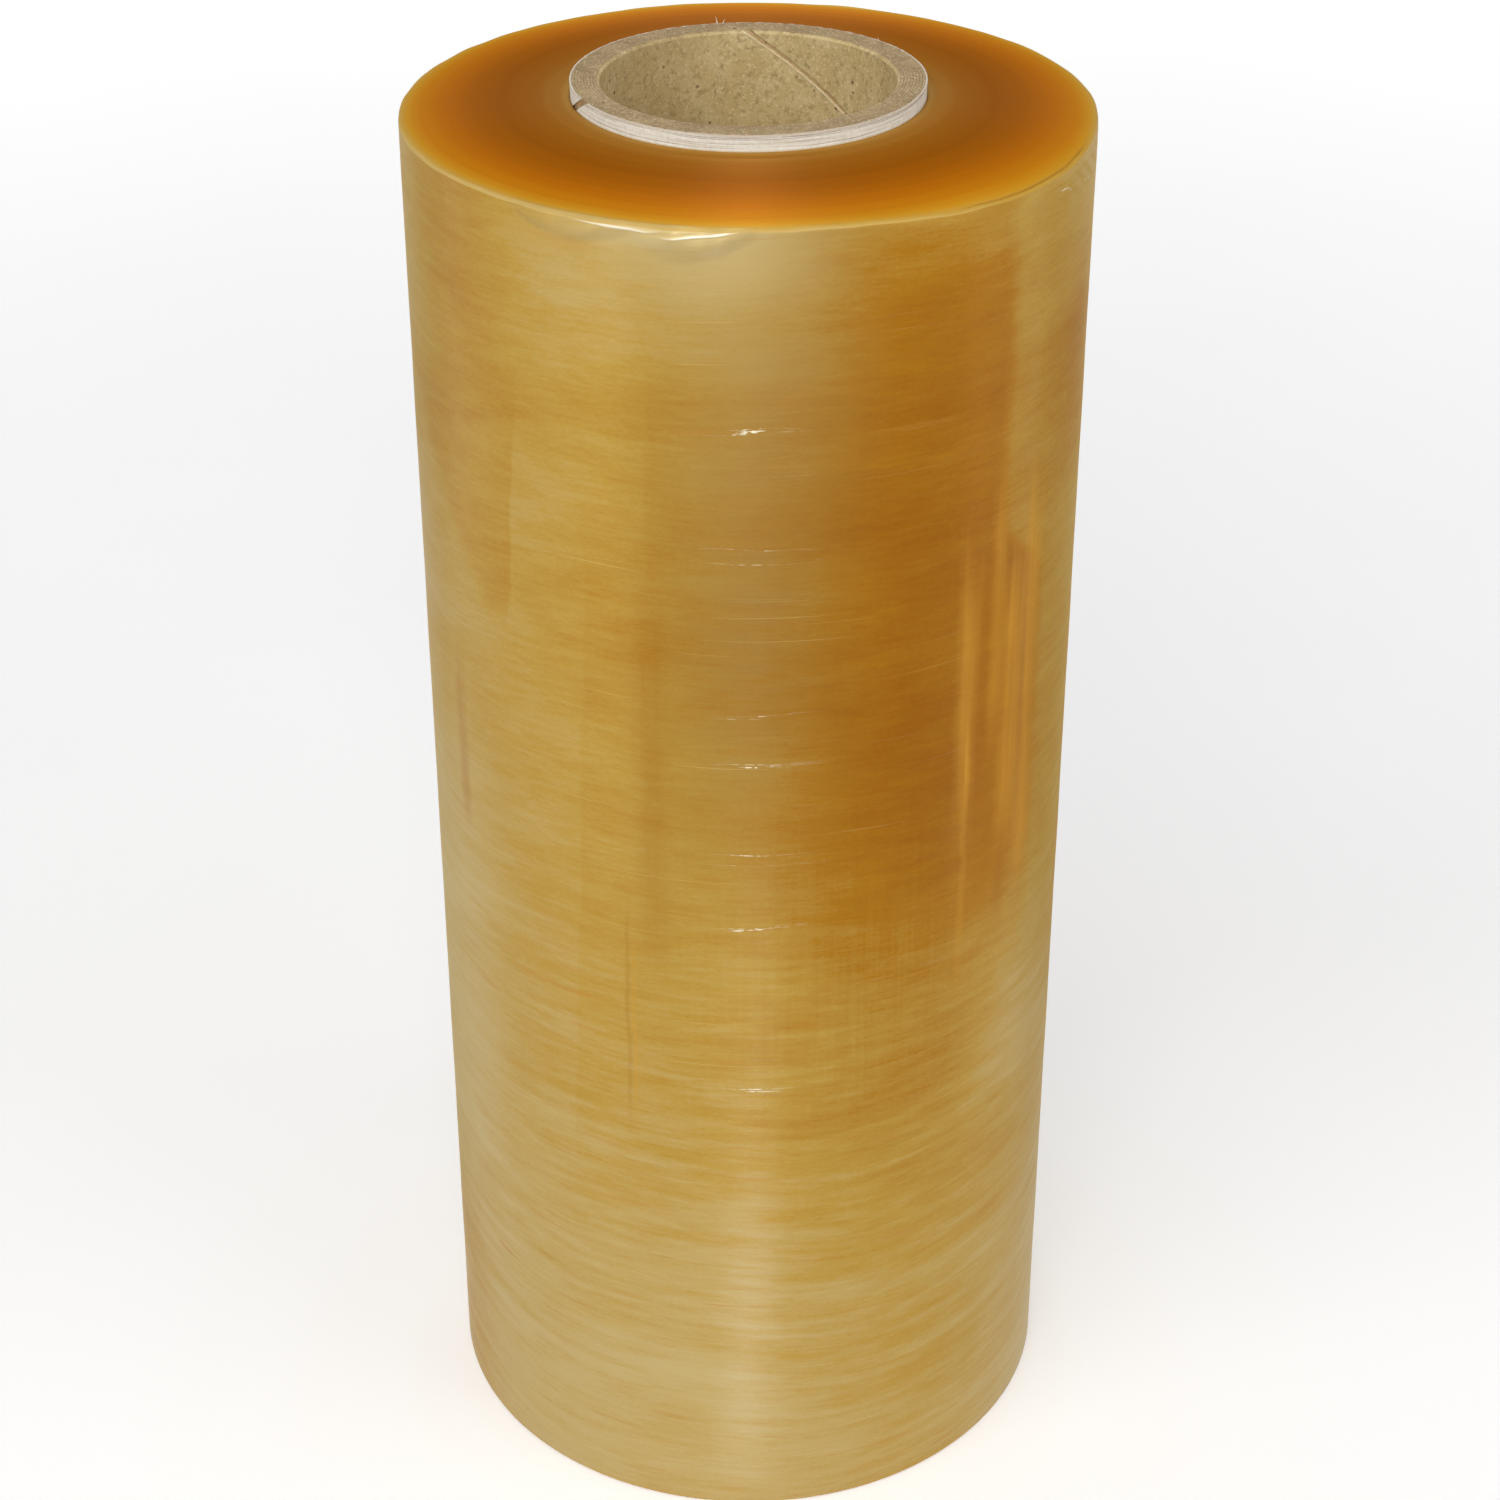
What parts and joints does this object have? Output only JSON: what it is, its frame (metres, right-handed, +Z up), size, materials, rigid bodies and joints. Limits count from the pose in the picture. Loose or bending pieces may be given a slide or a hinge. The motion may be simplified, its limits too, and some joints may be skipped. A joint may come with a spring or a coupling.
{
  "type": "roll of cling film",
  "caption": "Wide roll of thin clear plastic film wound on a board core, standing on one end, with a through bore for a dispenser spindle.",
  "frame": {"origin": "centre of the face that the roll stands on, on the axis of the core", "axes": "+Z up the axis of the roll, +Y away from the viewer, +X to the viewer's right"},
  "size_m": [0.1798, 0.1798, 0.4075],
  "materials": {
    "core_board": "matte grey-brown recycled board",
    "white_paper": "matte white paper",
    "wound_film": "glossy translucent amber, many turns deep"
  },
  "bodies": {
    "root": {"core_tube": "core_board", "core_facing": "white_paper", "film_roll": "wound_film"}
  },
  "joints": []
}
